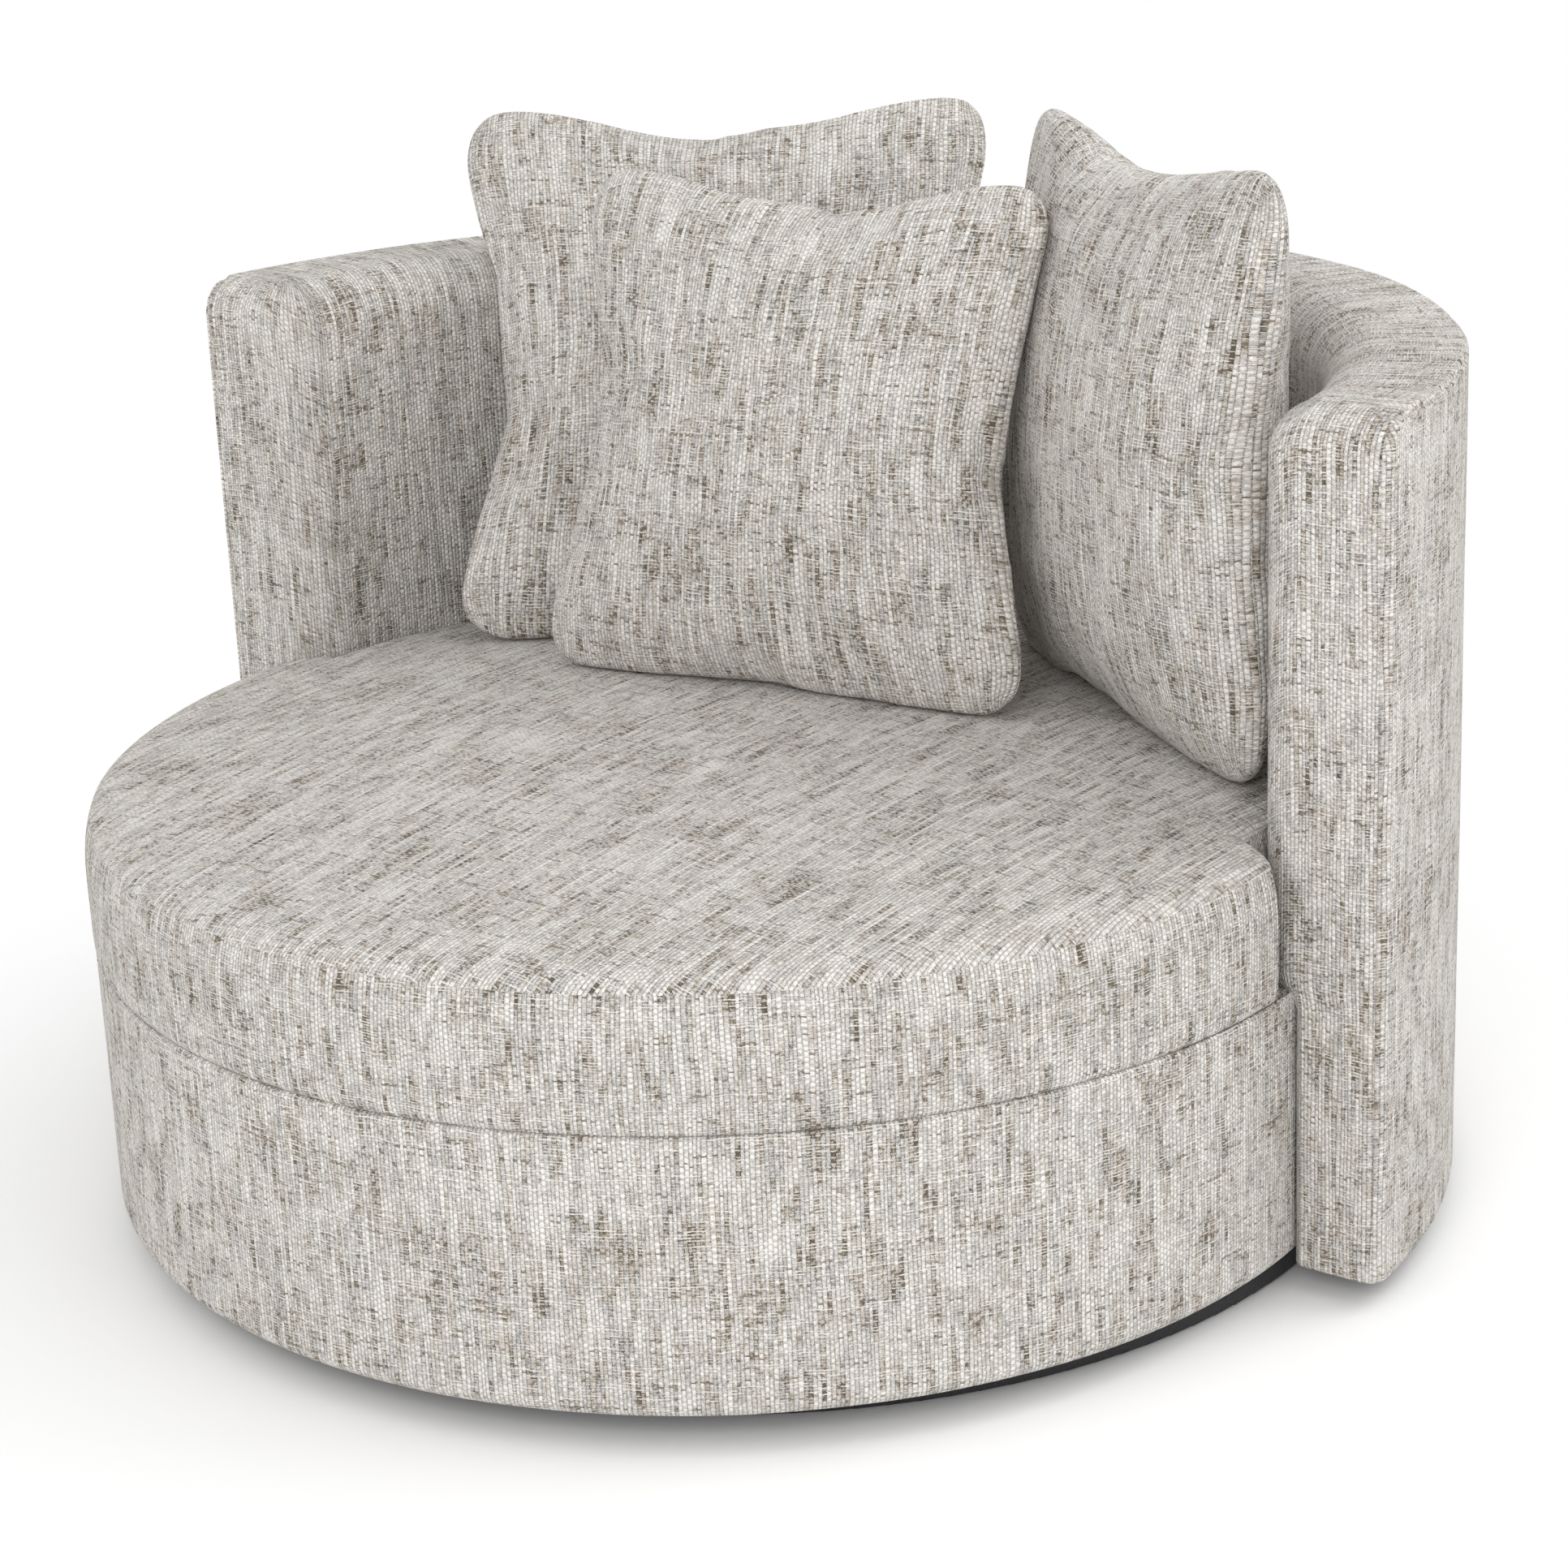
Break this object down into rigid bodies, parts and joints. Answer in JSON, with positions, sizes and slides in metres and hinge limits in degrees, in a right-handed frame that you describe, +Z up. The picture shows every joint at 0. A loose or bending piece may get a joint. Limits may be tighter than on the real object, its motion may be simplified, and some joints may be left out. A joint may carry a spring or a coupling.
{
  "type": "swivel armchair",
  "caption": "Round upholstered armchair on a hidden swivel, with a drum base, boxed seat, half-round back and arms in chunky woven fabric, and loose scatter cushions.",
  "frame": {"origin": "on the floor, on the swivel axis, at the underside of the centre glide", "axes": "+Z up along the swivel axis, the sitter faces -Y, +X is on the sitter's left"},
  "size_m": [1.3252, 1.2437, 0.9197],
  "materials": {
    "cover_fabric": "matte",
    "dust_cloth": "matte",
    "foam": "matte",
    "webbing": "matte",
    "plywood": "satin",
    "black_board": "matte",
    "steel": "satin",
    "ball_steel": "polished",
    "glide_plastic": "satin"
  },
  "bodies": {
    "floor_base": {"floor_glides": "glide_plastic", "plinth": "black_board", "lower_swivel_plate": "steel", "lower_plate_screws": "steel", "king_bolt": "steel", "king_washer": "steel", "king_nut": "steel"},
    "ball_cage": {"ball_cage": "steel", "bearing_balls": "ball_steel"},
    "seat": {"upper_swivel_plate": "steel", "upper_plate_screws": "steel", "drum_floor": "plywood", "drum_posts": "plywood", "deck_ring": "plywood", "webbing_crosswise": "webbing", "webbing_lengthwise": "webbing", "deck_pad": "foam", "deck_cover": "dust_cloth", "drum_wall": "plywood", "drum_padding": "foam", "drum_cover": "cover_fabric", "drum_dust_cover": "dust_cloth", "seat_foam": "foam", "seat_cover": "cover_fabric", "back_bottom_rail": "plywood", "back_top_rail": "plywood", "back_posts": "plywood", "back_end_boards": "plywood", "back_inner_panel": "plywood", "back_outer_panel": "plywood", "back_inner_foam": "foam", "back_top_pad": "foam", "back_end_pads": "foam", "back_wadding": "foam", "back_inner_cover": "cover_fabric", "back_outer_cover": "cover_fabric", "back_dust_strip": "dust_cloth", "back_bolts": "steel", "back_washers": "steel"},
    "front_cushion": {"front_cushion_cover": "cover_fabric", "front_cushion_filling": "foam"},
    "left_cushion": {"left_cushion_cover": "cover_fabric", "left_cushion_filling": "foam"},
    "right_cushion": {"right_cushion_cover": "cover_fabric", "right_cushion_filling": "foam"}
  },
  "joints": [
    {"name": "seat_swivel", "type": "hinge", "parent": "floor_base", "child": "seat", "pos_m": [0, 0, 0], "axis": [0, 0, 1], "continuous": true},
    {"name": "cage_orbit", "type": "hinge", "parent": "floor_base", "child": "ball_cage", "pos_m": [0, 0, 0], "axis": [0, 0, 1], "continuous": true},
    {"name": "front_cushion_lift", "type": "slide", "parent": "seat", "child": "front_cushion", "axis": [0, -0.2588, 0.9659], "range_m": [0, 0.45]},
    {"name": "left_cushion_lift", "type": "slide", "parent": "seat", "child": "left_cushion", "axis": [-0.1557, 0.2274, 0.9613], "range_m": [0, 0.45]},
    {"name": "right_cushion_lift", "type": "slide", "parent": "seat", "child": "right_cushion", "axis": [0, 0.225, 0.9744], "range_m": [0, 0.45]}
  ],
  "couplings": [
    {"joint": "cage_orbit", "follows": "seat_swivel", "ratio": 0.5}
  ]
}
